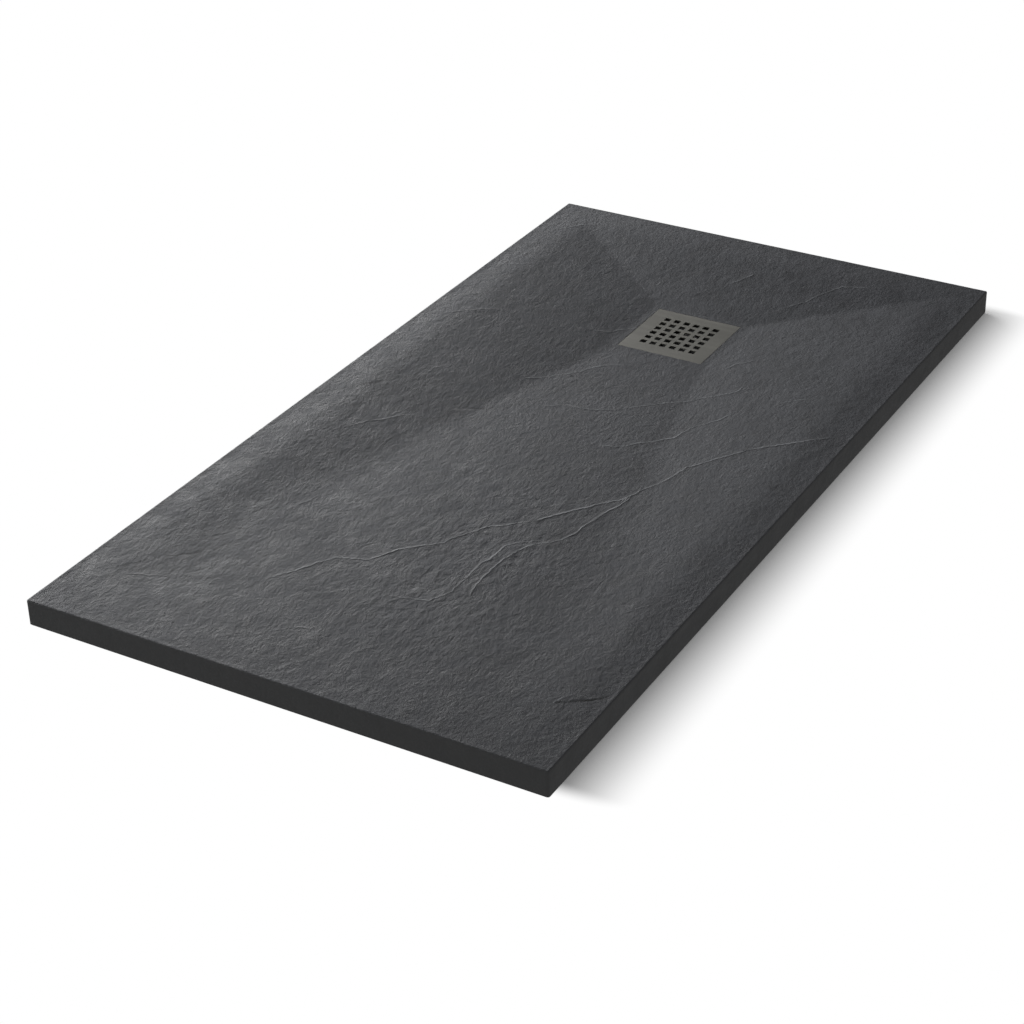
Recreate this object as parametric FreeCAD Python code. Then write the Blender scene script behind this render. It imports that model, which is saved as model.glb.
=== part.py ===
import FreeCAD, Part
import math
import os

# A walk-in shower tray: a slab of cast mineral resin under a textured slate skin, a square grate
# in a recess over the waste, and the low trap that hangs under the waste hole.
#
# Millimetres, +Z up. The origin is the middle of the underside. +X runs along the tray towards
# the end that has the waste, +Y points to the left of that.

# ---- Tray from above
tray_length = 1500.0
tray_width = 800.0
rim_width = 60.0  # level band round the basin
waste_to_end = 350.0  # middle of the waste to the nearer short end
landing = 4.0  # level strip between the falls and the grate
corner_radius = 3.0  # upright corners of the slab
top_edge_radius = 2.0  # rounding of the rim's outer edge

# ---- Tray in height, from the underside up
relief_depth = 2.5  # shallow round pocket under the waste
clamped_thickness = 6.0  # wall that the waste is clamped to
flange_sink = 0.3  # top of the flange below the recess floor, so that it drains
grate_stand = 3.5  # recess floor to the grate's underside
grate_thickness = 2.0
basin_depth = 22.0  # fall from the rim to the grate

# ---- Skin
skin_thickness = 1.5
skin_foot = 1.5  # height at which the skin stops above the floor

# ---- Ribbed underside
outer_wall = 18.0
rib_thickness = 12.0
rib_spacing = 183.0  # about this far from rib to rib
deck_thickness = 10.0  # resin left over each pocket
shallowest_pocket = 4.0
pocket_corner = 12.0  # cut off each corner of a pocket
pocket_draft = 5.0  # degrees

# ---- Grate
grate_side = 150.0
grate_gap = 0.6  # all round, in its recess
grate_corner = 1.0
grate_bevel = 0.4
hole_count = 6  # holes along each side
hole_side = 10.4
hole_pitch = 17.6
stud_radius = 2.5
stud_height = 2.2
stud_inset = 15.0  # from the plate's edges
pad_radius = 5.5

# ---- Mouth of the trap, from the middle out
neck_radius = 31.3
neck_wall = 2.5
neck_rise = 5.0  # above the collar's top face
neck_drop = 14.0  # below it
ledge_width = 2.8  # the insert hangs on this ledge
ledge_drop = 2.0  # ledge below the collar's top face
boss_radius = 4.5
boss_rise = 4.0
boss_drop = 10.0
boss_overlap = 0.3  # boss into neck, so that they are one moulding
flange_lip_wall = 1.6
flange_lip_depth = 4.0
flange_bearing = 12.5  # flange beyond the waste hole
flange_thickness = 2.5
flange_edge = 1.0  # bevel round the flange
flange_gasket_thickness = 1.2
body_gasket_thickness = 2.5
fit_clearance = 0.3  # between parts that are put together by hand
bore_clearance = 0.6  # flange lip in the waste hole
seat_clearance = 1.0  # flange in its round seat
gasket_setback = 1.0  # gaskets stop short of the edges that they seal

# ---- Collar and bowl of the trap
collar_thickness = 4.0
bowl_radius = 56.0
bowl_wall = 2.5
bowl_corner = 8.0
bowl_flange_thickness = 4.0
bowl_screw_count = 4
bowl_boss_radius = 4.2
bowl_boss_length = 16.0
bowl_rib_width = 2.5
seal_width = 2.4
seal_height = 2.0
seal_inset = 1.3
relief_margin = 4.0  # tray relief beyond the collar

# ---- Lift-out insert
insert_clearance = 0.5  # rim in the neck
skirt_clearance = 0.4
rim_height = 6.0
rim_wall = 2.2
skirt_height = 7.0
ring_section = 1.2  # radius of the sealing ring's section
ring_flats = 8
ring_play = 0.2  # ring inside the neck
groove_play = 0.15
tube_radius = 16.0
tube_wall = 1.8
funnel_height = 18.0
strainer_seat_drop = 3.2  # below the insert's top
strainer_ledge = 1.2
cup_clearance = 3.1
cup_wall = 1.8
cup_floor = 2.0
cup_spoke_count = 3
cup_spoke_width = 3.0
cup_hub_height = 5.0
overflow_gap = 8.0  # neck's lower edge to the cup's rim
seal_depth = 30.0  # depth of the standing water
tube_to_cup_floor = 6.0
cup_to_bowl_floor = 5.0

# ---- Hair strainer
strainer_thickness = 1.2
strainer_depth = 7.8
strainer_clearance = 0.4
strainer_slot_count = 12
strainer_slot_width = 2.4
strainer_hub_radius = 6.5
knob_radius = 6.0
knob_stem_radius = 3.2
knob_height = 12.0
knob_thickness = 3.0

# ---- Outlet for a 40 mm pipe
pipe_radius = 20.0
socket_clearance = 0.2
socket_length = 17.0
outlet_wall = 3.8
outlet_step = 2.0  # stop for the pipe
pipe_play = 0.6  # washer and nut round the pipe, beyond the socket's radius
side_boss_length = 8.0  # boss beyond the bowl's wall
stub_collar = 3.0
stub_beyond_flange = 24.0
cone_length = 5.0
cone_rise = 2.6
cone_head = 2.0  # seal that stands out of the mouth
washer_thickness = 1.0
washer_width = 3.0
nut_wall = 3.0
nut_end = 3.0
nut_length = 18.0
nut_rib_count = 10
nut_rib_height = 1.8
nut_rib_width = 5.0
nut_to_floor = 1.5  # nut above the bowl's lowest face

# ---- Screws and inserts
screw_radius = 2.0
screw_head_radius = 4.0
screw_head_height = 2.0
screw_length = 14.0
thread_clearance = 0.05
insert_wall = 0.9
insert_length = 7.0
small_screw_radius = 1.75
small_head_radius = 3.4
small_head_height = 1.7
small_screw_length = 15.0
drive_width = 0.8
drive_length = 4.0
drive_depth = 1.0
flange_screw_count = 4

# ---- Levels that follow from the sizes above
boss_z = relief_depth
seat_z = boss_z + clamped_thickness
gasket_top_z = seat_z + flange_gasket_thickness
flange_top_z = gasket_top_z + flange_thickness
floor_z = flange_top_z + flange_sink
plate_z = floor_z + grate_stand
deck_z = plate_z + grate_thickness
rim_z = deck_z + basin_depth

collar_top_z = boss_z - body_gasket_thickness
collar_under_z = collar_top_z - collar_thickness
ledge_z = collar_top_z - ledge_drop
neck_bottom_z = collar_top_z - neck_drop
insert_top_z = ledge_z + rim_height
strainer_seat_z = insert_top_z - strainer_seat_drop
skirt_bottom_z = ledge_z - skirt_height
cup_rim_z = neck_bottom_z - overflow_gap
tube_end_z = cup_rim_z - seal_depth
cup_floor_z = tube_end_z - tube_to_cup_floor
cup_bottom_z = cup_floor_z - cup_floor
bowl_floor_z = cup_bottom_z - cup_to_bowl_floor
bowl_bottom_z = bowl_floor_z - bowl_wall

# ---- Radii and distances that follow
waste_x = tray_length / 2 - waste_to_end
recess_side = grate_side + 2 * grate_gap
recess_corner = grate_corner + grate_gap
drain_side = recess_side + 2 * landing
neck_bore = neck_radius - ledge_width
screw_circle = neck_radius + neck_wall + boss_radius - boss_overlap
lip_inner = screw_circle + boss_radius + fit_clearance
lip_outer = lip_inner + flange_lip_wall
waste_radius = lip_outer + bore_clearance
flange_radius = waste_radius + flange_bearing
mouth_radius = neck_radius + socket_clearance
seal_inner = bowl_radius + seal_inset
seal_outer = seal_inner + seal_width
bowl_screw_circle = seal_outer + small_head_radius + gasket_setback
collar_radius = bowl_screw_circle + bowl_boss_radius + fit_clearance
relief_radius = collar_radius + relief_margin
insert_rim_radius = neck_radius - insert_clearance
skirt_radius = neck_bore - skirt_clearance
tube_outer = tube_radius + tube_wall
cup_radius = skirt_radius - cup_clearance

socket_radius = pipe_radius + socket_clearance
stub_radius = socket_radius + outlet_wall
nut_bore = stub_radius + fit_clearance
nut_radius = nut_bore + nut_wall
nut_reach = nut_radius + nut_rib_height
outlet_z = bowl_bottom_z + nut_to_floor + nut_reach
side_boss_x = waste_x + bowl_radius + bowl_wall + side_boss_length
stub_end_x = waste_x + collar_radius + stub_beyond_flange

SAME_LEVEL = 1e-6  # heights this close are one level

UP = FreeCAD.Vector(0, 0, 1)
ALONG = FreeCAD.Vector(1, 0, 0)
WASTE = FreeCAD.Vector(waste_x, 0, 0)
OUTLET = FreeCAD.Vector(waste_x, 0, outlet_z)


def rounded_rectangle(length, width, radius, z, centre=(0.0, 0.0)):
    """Closed outline of a rectangle with round corners, level at height z."""
    cx, cy = centre
    wire_edges = []
    corners = [(1, 1, 0), (-1, 1, 90), (-1, -1, 180), (1, -1, 270)]
    arcs = []
    for side_x, side_y, start in corners:
        middle = FreeCAD.Vector(
            cx + side_x * (length / 2 - radius), cy + side_y * (width / 2 - radius), z
        )
        arcs.append(Part.makeCircle(radius, middle, UP, start, start + 90))
    for i, arc in enumerate(arcs):
        wire_edges.append(arc)
        here = arc.Vertexes[-1].Point
        there = arcs[(i + 1) % len(arcs)].Vertexes[0].Point
        wire_edges.append(Part.makeLine(here, there))
    return Part.Wire(wire_edges)


def rounded_block(length, width, radius, bottom, top, centre=(0.0, 0.0)):
    """Upright block with round corners between two heights."""
    outline = rounded_rectangle(length, width, radius, bottom, centre)
    return Part.Face(outline).extrude(UP * (top - bottom))


def turned(points, base=WASTE, axis=UP):
    """Solid turned from a closed outline of (radius, distance along the axis) pairs."""
    if axis == UP:
        outline = [FreeCAD.Vector(r, 0, h) + FreeCAD.Vector(base.x, base.y, 0) for r, h in points]
    else:
        outline = [FreeCAD.Vector(h, base.y, base.z + r) for r, h in points]
    outline.append(outline[0])
    return Part.Face(Part.makePolygon(outline)).revolve(base, axis, 360)


def upright_cylinder(radius, bottom, top, x=0.0, y=0.0):
    """Cylinder on a vertical axis, placed from the middle of the waste."""
    return Part.makeCylinder(radius, top - bottom, WASTE + FreeCAD.Vector(x, y, bottom))


def ring(inner, outer, bottom, top):
    """Flat ring round the waste's axis."""
    return turned([(inner, bottom), (outer, bottom), (outer, top), (inner, top)])


def circle_points(count, radius, first_angle):
    """Places of a round pattern, as (x, y) from the middle of the waste."""
    places = []
    for i in range(count):
        angle = math.radians(first_angle + 360 * i / count)
        places.append((radius * math.cos(angle), radius * math.sin(angle)))
    return places


def edges_where(shape, test):
    """Edges of a shape whose middle point passes a test."""
    found = []
    for edge in shape.Edges:
        middle = edge.valueAt((edge.FirstParameter + edge.LastParameter) / 2)
        if test(middle, edge):
            found.append(edge)
    return found


# ---------------------------------------------------------------- tray


def fall_edges():
    """Plan rectangles of the basin: at the rim and round the drain, as x and y ranges."""
    half_length = tray_length / 2 - rim_width
    half_width = tray_width / 2 - rim_width
    half_drain = drain_side / 2
    rim = (-half_length, half_length, -half_width, half_width)
    drain = (waste_x - half_drain, waste_x + half_drain, -half_drain, half_drain)
    return rim, drain


def basin_height(x, y):
    """Height of the slate surface over a point, where each fall is a plane."""
    rim, drain = fall_edges()
    shares = [
        (drain[0] - x) / (drain[0] - rim[0]),
        (x - drain[1]) / (rim[1] - drain[1]),
        (drain[2] - y) / (drain[2] - rim[2]),
        (y - drain[3]) / (rim[3] - drain[3]),
    ]
    return deck_z + basin_depth * min(1.0, max(0.0, *shares))


def basin_space(inset):
    """What the four falls leave open above them, lowered by the inset."""
    outlines = []
    for (x0, x1, y0, y1), z in zip(fall_edges(), (rim_z, deck_z)):
        corners = [(x0, y0), (x1, y0), (x1, y1), (x0, y1), (x0, y0)]
        outlines.append(Part.makePolygon([FreeCAD.Vector(x, y, z - inset) for x, y in corners]))
    return Part.makeLoft(outlines, True, True)


def slab(inset):
    """The tray as seen from above, with every upper face set in by the same amount."""
    block = rounded_block(
        tray_length - 2 * inset,
        tray_width - 2 * inset,
        corner_radius,
        0,
        rim_z - inset,
    )
    recess = rounded_block(
        recess_side + 2 * inset,
        recess_side + 2 * inset,
        recess_corner + inset,
        floor_z - inset,
        rim_z,
        (waste_x, 0),
    )
    seat = upright_cylinder(flange_radius + seat_clearance + inset, seat_z - inset, rim_z)
    hole = upright_cylinder(waste_radius, 0, rim_z)
    return block.cut([basin_space(inset), recess, seat, hole])


def make_tray_skin():
    """Slate skin over the rim, the falls, the recess and the four sides."""
    outer = slab(0)

    def on_outer_edge(middle, edge):
        near_x = abs(abs(middle.x) - tray_length / 2) < corner_radius
        near_y = abs(abs(middle.y) - tray_width / 2) < corner_radius
        return abs(middle.z - rim_z) < SAME_LEVEL and (near_x or near_y)

    outer = outer.makeFillet(top_edge_radius, edges_where(outer, on_outer_edge))
    below = Part.makeBox(
        tray_length,
        tray_width,
        skin_foot,
        FreeCAD.Vector(-tray_length / 2, -tray_width / 2, 0),
    )
    return outer.cut([slab(skin_thickness), below])


def cut_corner_rectangle(length, width, z, centre):
    """Closed outline of a pocket at height z, with its four corners cut off."""
    reach_x = length / 2
    reach_y = width / 2
    quarter = [(reach_x, reach_y - pocket_corner), (reach_x - pocket_corner, reach_y)]
    outline = []
    for side_x, side_y in ((1, 1), (-1, 1), (-1, -1), (1, -1)):
        # the two points of a corner swap places where the outline is mirrored
        points = quarter if side_x * side_y > 0 else quarter[::-1]
        for x, y in points:
            outline.append(FreeCAD.Vector(centre[0] + side_x * x, centre[1] + side_y * y, z))
    outline.append(outline[0])
    return Part.makePolygon(outline)


def underside_pockets():
    """Drafted pockets between the ribs, deeper where the slate surface lies higher."""
    counts = []
    sizes = []
    for span in (tray_length, tray_width):
        inside = span - 2 * outer_wall
        count = round((inside + rib_thickness) / rib_spacing)
        counts.append(count)
        sizes.append((inside - (count - 1) * rib_thickness) / count)
    pockets = []
    for i in range(counts[0]):
        for j in range(counts[1]):
            x = (i - (counts[0] - 1) / 2) * (sizes[0] + rib_thickness)
            y = (j - (counts[1] - 1) / 2) * (sizes[1] + rib_thickness)
            # the point of this pocket that is nearest to the waste has the lowest surface over it
            near_x = min(max(waste_x, x - sizes[0] / 2), x + sizes[0] / 2)
            near_y = min(max(0.0, y - sizes[1] / 2), y + sizes[1] / 2)
            depth = basin_height(near_x, near_y) - skin_thickness - deck_thickness
            reach = math.hypot(near_x - waste_x, near_y)
            drain_reach = max(abs(near_x - waste_x), abs(near_y))
            if depth < shallowest_pocket or reach < relief_radius or drain_reach < drain_side / 2:
                continue
            taper = 2 * depth * math.tan(math.radians(pocket_draft))
            mouth = cut_corner_rectangle(sizes[0], sizes[1], 0, (x, y))
            roof = cut_corner_rectangle(sizes[0] - taper, sizes[1] - taper, depth, (x, y))
            pockets.append(Part.makeLoft([mouth, roof], True, True))
    return pockets


def make_tray_core():
    """Cast resin under the skin, ribbed below, with a solid boss round the waste."""
    relief = upright_cylinder(relief_radius, 0, relief_depth)
    return slab(skin_thickness).cut([relief] + underside_pockets())


# ---------------------------------------------------------------- grate


def make_grate_plate():
    """Square plate with a field of square holes."""
    plate = rounded_block(grate_side, grate_side, grate_corner, plate_z, deck_z, (waste_x, 0))

    def on_top_edge(middle, edge):
        return abs(middle.z - deck_z) < SAME_LEVEL

    plate = plate.makeChamfer(grate_bevel, edges_where(plate, on_top_edge))
    holes = []
    for i in range(hole_count):
        for j in range(hole_count):
            x = waste_x + (i - (hole_count - 1) / 2) * hole_pitch - hole_side / 2
            y = (j - (hole_count - 1) / 2) * hole_pitch - hole_side / 2
            corner = FreeCAD.Vector(x, y, plate_z)
            holes.append(Part.makeBox(hole_side, hole_side, grate_thickness, corner))
    return plate.cut(holes)


def stud_places():
    """The four studs, as (x, y) from the middle of the waste."""
    reach = grate_side / 2 - stud_inset
    return [(reach, reach), (-reach, reach), (-reach, -reach), (reach, -reach)]


def make_grate_studs():
    """Short studs welded under the plate."""
    bottom = plate_z - stud_height
    return [upright_cylinder(stud_radius, bottom, plate_z, x, y) for x, y in stud_places()]


def make_grate_pads():
    """Rubber pads pushed over the studs, on which the grate stands."""
    pads = []
    for x, y in stud_places():
        pad = upright_cylinder(pad_radius, floor_z, plate_z, x, y)
        pocket = upright_cylinder(stud_radius, plate_z - stud_height, plate_z, x, y)
        pads.append(pad.cut(pocket))
    return pads


# ---------------------------------------------------------------- waste fitting


def countersunk_screw(x, y, top, radius, head_radius, head_height, length):
    """Countersunk screw that points down."""
    outline = [
        (0, top),
        (head_radius, top),
        (radius, top - head_height),
        (radius, top - length),
        (0, top - length),
    ]
    screw = turned(outline)
    screw.translate(FreeCAD.Vector(x, y, 0))
    return screw


def cross_drive(x, y, top):
    """Cutter for the cross in the head of a screw that can be reached from above."""
    arms = []
    for across, along in ((drive_width, drive_length), (drive_length, drive_width)):
        corner = WASTE + FreeCAD.Vector(x - across / 2, y - along / 2, top - drive_depth)
        arms.append(Part.makeBox(across, along, drive_depth, corner))
    return arms[0].fuse(arms[1])


def countersink(x, y, top, radius, head_radius, head_height, bottom):
    """Cutter for a countersunk screw hole."""
    play = thread_clearance
    outline = [
        (0, top),
        (head_radius + play, top),
        (radius + play, top - head_height),
        (radius + play, bottom),
        (0, bottom),
    ]
    cutter = turned(outline)
    cutter.translate(FreeCAD.Vector(x, y, 0))
    return cutter


def flange_screw_places():
    return circle_points(flange_screw_count, screw_circle, 45)


def bowl_screw_places():
    return circle_points(bowl_screw_count, bowl_screw_circle, 180 / bowl_screw_count)


def make_waste_flange():
    """Ring that clamps the tray from above, with a lip down into the waste hole."""
    outline = [
        (mouth_radius, gasket_top_z),
        (lip_inner, gasket_top_z),
        (lip_inner, gasket_top_z - flange_lip_depth),
        (lip_outer, gasket_top_z - flange_lip_depth),
        (lip_outer, gasket_top_z),
        (flange_radius, gasket_top_z),
        (flange_radius, flange_top_z - flange_edge),
        (flange_radius - flange_edge, flange_top_z),
        (mouth_radius + flange_edge, flange_top_z),
        (mouth_radius, flange_top_z - flange_edge),
    ]
    holes = [
        countersink(
            x, y, flange_top_z, screw_radius, screw_head_radius, screw_head_height, gasket_top_z
        )
        for x, y in flange_screw_places()
    ]
    return turned(outline).cut(holes)


def make_flange_gasket():
    """Flat gasket between the flange and the tray."""
    return ring(
        waste_radius + gasket_setback, flange_radius - gasket_setback, seat_z, gasket_top_z
    )


def make_flange_screws():
    """Cross-headed screws that draw the flange and the collar together."""
    screws = []
    for x, y in flange_screw_places():
        screw = countersunk_screw(
            x, y, flange_top_z, screw_radius, screw_head_radius, screw_head_height, screw_length
        )
        screws.append(screw.cut(cross_drive(x, y, flange_top_z)))
    return screws


def make_body_gasket():
    """Thick gasket between the tray's underside and the collar."""
    outer = bowl_screw_circle - small_head_radius - gasket_setback
    return ring(waste_radius + gasket_setback, outer, collar_top_z, boss_z)


def insert_radius():
    return screw_radius + thread_clearance + insert_wall


def make_thread_inserts():
    """Brass bushes for the flange screws, pressed into the collar's bosses."""
    top = collar_top_z + boss_rise
    bushes = []
    for x, y in flange_screw_places():
        bush = upright_cylinder(insert_radius(), top - insert_length, top, x, y)
        bore = upright_cylinder(screw_radius + thread_clearance, top - insert_length, top, x, y)
        bushes.append(bush.cut(bore))
    return bushes


# ---------------------------------------------------------------- trap


def make_trap_collar():
    """Upper moulding: neck with its ledge, four screw bosses and the flange of the bowl."""
    neck_outer = neck_radius + neck_wall
    lower_outer = neck_bore + neck_wall
    skirt_outer = bowl_radius - fit_clearance
    skirt_inner = skirt_outer - bowl_wall
    skirt_z = collar_under_z - collar_thickness
    outline = [
        (neck_bore, neck_bottom_z),
        (lower_outer, neck_bottom_z),
        (lower_outer, collar_under_z - ledge_width),
        (neck_outer, collar_under_z),
        (skirt_inner, collar_under_z),
        (skirt_inner, skirt_z),
        (skirt_outer, skirt_z),
        (skirt_outer, collar_under_z),
        (collar_radius, collar_under_z),
        (collar_radius, collar_top_z),
        (neck_outer, collar_top_z),
        (neck_outer, collar_top_z + neck_rise),
        (neck_radius, collar_top_z + neck_rise),
        (neck_radius, ledge_z),
        (neck_bore, ledge_z),
    ]
    bosses = []
    cutters = []
    boss_top = collar_top_z + boss_rise
    for x, y in flange_screw_places():
        bosses.append(upright_cylinder(boss_radius, collar_top_z - boss_drop, boss_top, x, y))
        cutters.append(upright_cylinder(insert_radius(), boss_top - insert_length, boss_top, x, y))
        tip = flange_top_z - screw_length - fit_clearance
        cutters.append(upright_cylinder(screw_radius + thread_clearance, tip, boss_top, x, y))
    for x, y in bowl_screw_places():
        cutters.append(
            countersink(
                x,
                y,
                collar_top_z,
                small_screw_radius,
                small_head_radius,
                small_head_height,
                collar_under_z,
            )
        )
    # the way of the insert stays round where a boss runs through the neck's wall
    cutters.append(upright_cylinder(neck_radius, ledge_z, collar_top_z + neck_rise))
    cutters.append(upright_cylinder(neck_bore, neck_bottom_z, ledge_z))
    return turned(outline).fuse(bosses).cut(cutters).removeSplitter()


def make_collar_seal():
    """Square ring in the groove of the bowl's flange."""
    return ring(seal_inner, seal_outer, collar_under_z - seal_height, collar_under_z)


def make_collar_screws():
    """Screws that hold the collar down on the bowl, hidden under the tray."""
    return [
        countersunk_screw(
            x,
            y,
            collar_top_z,
            small_screw_radius,
            small_head_radius,
            small_head_height,
            small_screw_length,
        )
        for x, y in bowl_screw_places()
    ]


def make_trap_bowl():
    """Lower moulding: bowl, flange with its bosses, and a side boss that takes the stub."""
    bowl_outer = bowl_radius + bowl_wall
    flange_bottom = collar_under_z - bowl_flange_thickness
    body = upright_cylinder(bowl_outer, bowl_bottom_z, collar_under_z)

    def on_bottom(middle, edge):
        return abs(middle.z - bowl_bottom_z) < SAME_LEVEL

    body = body.makeFillet(bowl_corner, edges_where(body, on_bottom))
    cavity = upright_cylinder(bowl_radius, bowl_floor_z, collar_under_z)

    def on_floor(middle, edge):
        return abs(middle.z - bowl_floor_z) < SAME_LEVEL

    cavity = cavity.makeChamfer(bowl_corner - bowl_wall, edges_where(cavity, on_floor))
    added = [upright_cylinder(collar_radius, flange_bottom, collar_under_z)]
    cutters = [cavity]
    boss_bottom = collar_under_z - bowl_boss_length
    for x, y in bowl_screw_places():
        added.append(upright_cylinder(bowl_boss_radius, boss_bottom, collar_under_z, x, y))
        rib = Part.makeBox(
            bowl_screw_circle - bowl_radius,
            bowl_rib_width,
            bowl_boss_length,
            WASTE + FreeCAD.Vector(bowl_radius, -bowl_rib_width / 2, boss_bottom),
        )
        rib.rotate(WASTE, UP, math.degrees(math.atan2(y, x)))
        added.append(rib)
        hole_bottom = collar_top_z - small_screw_length - fit_clearance
        pilot_radius = small_screw_radius + thread_clearance
        cutters.append(upright_cylinder(pilot_radius, hole_bottom, collar_under_z, x, y))
    side_length = side_boss_x - waste_x
    added.append(Part.makeCylinder(stub_radius + bowl_wall, side_length, OUTLET, ALONG))
    cutters.append(Part.makeCylinder(stub_radius + thread_clearance, side_length, OUTLET, ALONG))
    cutters.append(
        ring(
            seal_inner - thread_clearance,
            seal_outer + thread_clearance,
            collar_under_z - seal_height,
            collar_under_z,
        )
    )
    return body.fuse(added).cut(cutters).removeSplitter()


def make_dip_tube():
    """Funnel and tube that carry the water down into the cup."""
    groove_top = ledge_z - ring_section - skirt_clearance
    groove_bottom = groove_top - 2 * (ring_section + groove_play)
    groove_radius = neck_bore - ring_play - 2 * ring_section - groove_play
    seat_inner = insert_rim_radius - rim_wall - 2 * strainer_clearance - strainer_ledge
    outline = [
        (insert_rim_radius, insert_top_z),
        (insert_rim_radius, ledge_z),
        (skirt_radius, ledge_z),
        (skirt_radius, groove_top),
        (groove_radius, groove_top),
        (groove_radius, groove_bottom),
        (skirt_radius, groove_bottom),
        (skirt_radius, skirt_bottom_z),
        (tube_outer, skirt_bottom_z - (skirt_radius - tube_outer)),
        (tube_outer, tube_end_z),
        (tube_radius, tube_end_z),
        (tube_radius, strainer_seat_z - funnel_height),
        (seat_inner, strainer_seat_z),
        (insert_rim_radius - rim_wall, strainer_seat_z),
        (insert_rim_radius - rim_wall, insert_top_z),
    ]
    return turned(outline)


def make_tube_o_ring():
    """Ring that seals the insert in the neck."""
    middle_radius = neck_bore - ring_play - ring_section
    middle_z = ledge_z - skirt_clearance - 2 * ring_section - groove_play
    # eight small flats stand for the round section
    outline = []
    for i in range(ring_flats):
        angle = 2 * math.pi * (i + 0.5) / ring_flats
        outline.append(
            (middle_radius + ring_section * math.cos(angle), middle_z + ring_section * math.sin(angle))
        )
    return turned(outline)


def make_seal_cup():
    """Cup round the tube's end, hung from it by a hub and spokes."""
    cup_inner = cup_radius - cup_wall
    hub_inner = tube_outer + thread_clearance
    hub_outer = hub_inner + cup_wall
    hub_bottom = cup_rim_z - cup_hub_height
    outline = [
        (0, cup_bottom_z),
        (cup_radius, cup_bottom_z),
        (cup_radius, cup_rim_z),
        (cup_inner, cup_rim_z),
        (cup_inner, cup_floor_z),
        (0, cup_floor_z),
    ]
    pieces = [ring(hub_inner, hub_outer, hub_bottom, cup_rim_z)]
    for i in range(cup_spoke_count):
        spoke = Part.makeBox(
            cup_radius - cup_wall / 2 - hub_inner - cup_wall / 2,
            cup_spoke_width,
            cup_hub_height,
            WASTE + FreeCAD.Vector(hub_inner + cup_wall / 2, -cup_spoke_width / 2, hub_bottom),
        )
        spoke.rotate(WASTE, UP, 360 * i / cup_spoke_count)
        pieces.append(spoke)
    return turned(outline).fuse(pieces).removeSplitter()


def make_hair_strainer():
    """Slotted dish with a knob to lift it by."""
    rim_radius = insert_rim_radius - rim_wall - strainer_clearance
    dish_top = rim_radius - strainer_ledge - 2 * strainer_clearance
    fall = (dish_top - tube_radius) / funnel_height
    bottom_z = strainer_seat_z - strainer_depth
    dish_bottom = dish_top - strainer_depth * fall - strainer_clearance
    top_z = strainer_seat_z + strainer_thickness
    inner_z = bottom_z + strainer_thickness
    knob_z = inner_z + knob_height
    outline = [
        (0, bottom_z),
        (dish_bottom, bottom_z),
        (dish_top, strainer_seat_z),
        (rim_radius, strainer_seat_z),
        (rim_radius, top_z),
        (dish_top - strainer_thickness, top_z),
        (dish_bottom - strainer_thickness, inner_z),
        (knob_stem_radius, inner_z),
        (knob_stem_radius, knob_z - knob_thickness),
        (knob_radius, knob_z - knob_thickness),
        (knob_radius, knob_z),
        (0, knob_z),
    ]
    slot_length = dish_bottom - strainer_hub_radius - 2 * strainer_thickness
    slots = []
    for i in range(strainer_slot_count):
        slot = Part.makeBox(
            slot_length,
            strainer_slot_width,
            strainer_thickness,
            WASTE + FreeCAD.Vector(strainer_hub_radius, -strainer_slot_width / 2, bottom_z),
        )
        slot.rotate(WASTE, UP, 360 * (i + 0.5) / strainer_slot_count)
        slots.append(slot)
    return turned(outline).cut(slots)


# ---------------------------------------------------------------- outlet


def make_outlet_stub():
    """Stub bonded into the bowl's side boss, with the socket that the pipe is pushed into."""
    start_x = waste_x + bowl_radius
    socket_x = stub_end_x - cone_length
    pipe_stop_x = socket_x - socket_length
    outline = [
        (socket_radius - outlet_step, start_x),
        (stub_radius, start_x),
        (stub_radius, side_boss_x),
        (stub_radius + bowl_wall, side_boss_x),
        (stub_radius + bowl_wall, side_boss_x + stub_collar),
        (stub_radius, side_boss_x + stub_collar),
        (stub_radius, stub_end_x),
        (socket_radius + cone_rise, stub_end_x),
        (socket_radius, socket_x),
        (socket_radius, pipe_stop_x),
        (socket_radius - outlet_step, pipe_stop_x),
    ]
    return turned(outline, OUTLET, ALONG)


def make_outlet_seal():
    """Tapered ring squeezed round the pipe in the mouth of the stub."""
    outline = [
        (socket_radius, stub_end_x - cone_length),
        (socket_radius + cone_rise, stub_end_x),
        (socket_radius + cone_rise, stub_end_x + cone_head),
        (socket_radius, stub_end_x + cone_head),
    ]
    return turned(outline, OUTLET, ALONG)


def make_outlet_washer():
    """Slip washer between the seal and the nut."""
    start = stub_end_x + cone_head
    inner = socket_radius + pipe_play
    outline = [
        (inner, start),
        (inner + washer_width, start),
        (inner + washer_width, start + washer_thickness),
        (inner, start + washer_thickness),
    ]
    return turned(outline, OUTLET, ALONG)


def make_outlet_nut():
    """Hand nut that squeezes the seal, with grip ribs."""
    seat_x = stub_end_x + cone_head + washer_thickness
    end_x = seat_x + nut_end
    start_x = end_x - nut_length
    outline = [
        (socket_radius + pipe_play, seat_x),
        (socket_radius + pipe_play, end_x),
        (nut_radius, end_x),
        (nut_radius, start_x),
        (nut_bore, start_x),
        (nut_bore, seat_x),
    ]
    ribs = []
    for i in range(nut_rib_count):
        rib = Part.makeBox(
            nut_length,
            nut_rib_width,
            nut_wall / 2 + nut_rib_height,
            FreeCAD.Vector(start_x, -nut_rib_width / 2, outlet_z + nut_radius - nut_wall / 2),
        )
        rib.rotate(OUTLET, ALONG, 360 * i / nut_rib_count)
        ribs.append(rib)
    reach = Part.makeCylinder(
        nut_reach, nut_length, FreeCAD.Vector(start_x, 0, outlet_z), ALONG
    )
    return turned(outline, OUTLET, ALONG).fuse(ribs).common(reach).removeSplitter()


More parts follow.
